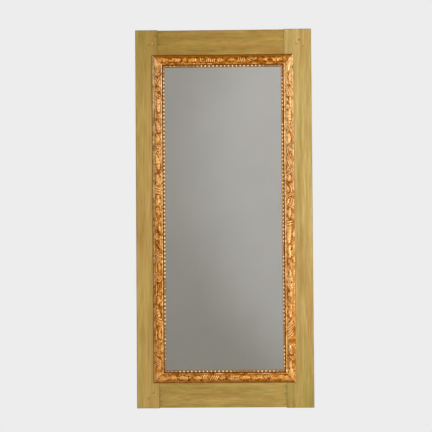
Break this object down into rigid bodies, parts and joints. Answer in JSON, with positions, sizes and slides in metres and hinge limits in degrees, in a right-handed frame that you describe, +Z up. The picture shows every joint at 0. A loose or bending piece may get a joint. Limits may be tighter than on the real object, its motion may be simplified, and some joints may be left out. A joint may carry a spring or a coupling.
{
  "type": "rectangular mirror",
  "caption": "Tall rectangular wall mirror: painted board frame, carved gilded moulding with a beaded sight edge, plain plate, planked back and two hinged hanging rings.",
  "frame": {"origin": "middle of the planked back, in the wall plane, half way up the stiles and half way across them", "axes": "+Z up along the stiles, +X to the right seen from the front, +Y out of the back towards the wall; the glass faces -Y"},
  "size_m": [0.7, 0.045, 1.5],
  "materials": {
    "painted_wood": "old streaky ochre-green paint over softwood, satin",
    "giltwood": "worn gold leaf over red-brown bole on carved wood",
    "glass": "flat polished plate",
    "silvering": "old silvering with a painted back",
    "raw_wood": "aged bare softwood",
    "brass": "dulled brass",
    "steel": "dark oxidised steel"
  },
  "bodies": {
    "frame": {"left_stile": "painted_wood", "right_stile": "painted_wood", "top_rail": "painted_wood", "bottom_rail": "painted_wood", "corner_pegs": "painted_wood", "left_moulding": "giltwood", "right_moulding": "giltwood", "top_moulding": "giltwood", "bottom_moulding": "giltwood", "left_beads": "giltwood", "right_beads": "giltwood", "top_beads": "giltwood", "bottom_beads": "giltwood", "mirror_glass": "glass", "silver_backing": "silvering", "plate_wedges": "raw_wood", "left_plank": "raw_wood", "middle_plank": "raw_wood", "right_plank": "raw_wood", "plank_screws": "steel", "left_hanger_strap": "brass", "right_hanger_strap": "brass", "hanger_screws": "steel"},
    "left_ring": {"left_hanger_ring": "brass"},
    "right_ring": {"right_hanger_ring": "brass"}
  },
  "joints": [
    {"name": "left_ring_swing", "type": "hinge", "parent": "frame", "child": "left_ring", "pos_m": [-0.314, -0.0032, 0.45], "axis": [1, 0, 0], "range_deg": [0, 180]},
    {"name": "right_ring_swing", "type": "hinge", "parent": "frame", "child": "right_ring", "pos_m": [0.314, -0.0032, 0.45], "axis": [1, 0, 0], "range_deg": [0, 180]}
  ]
}
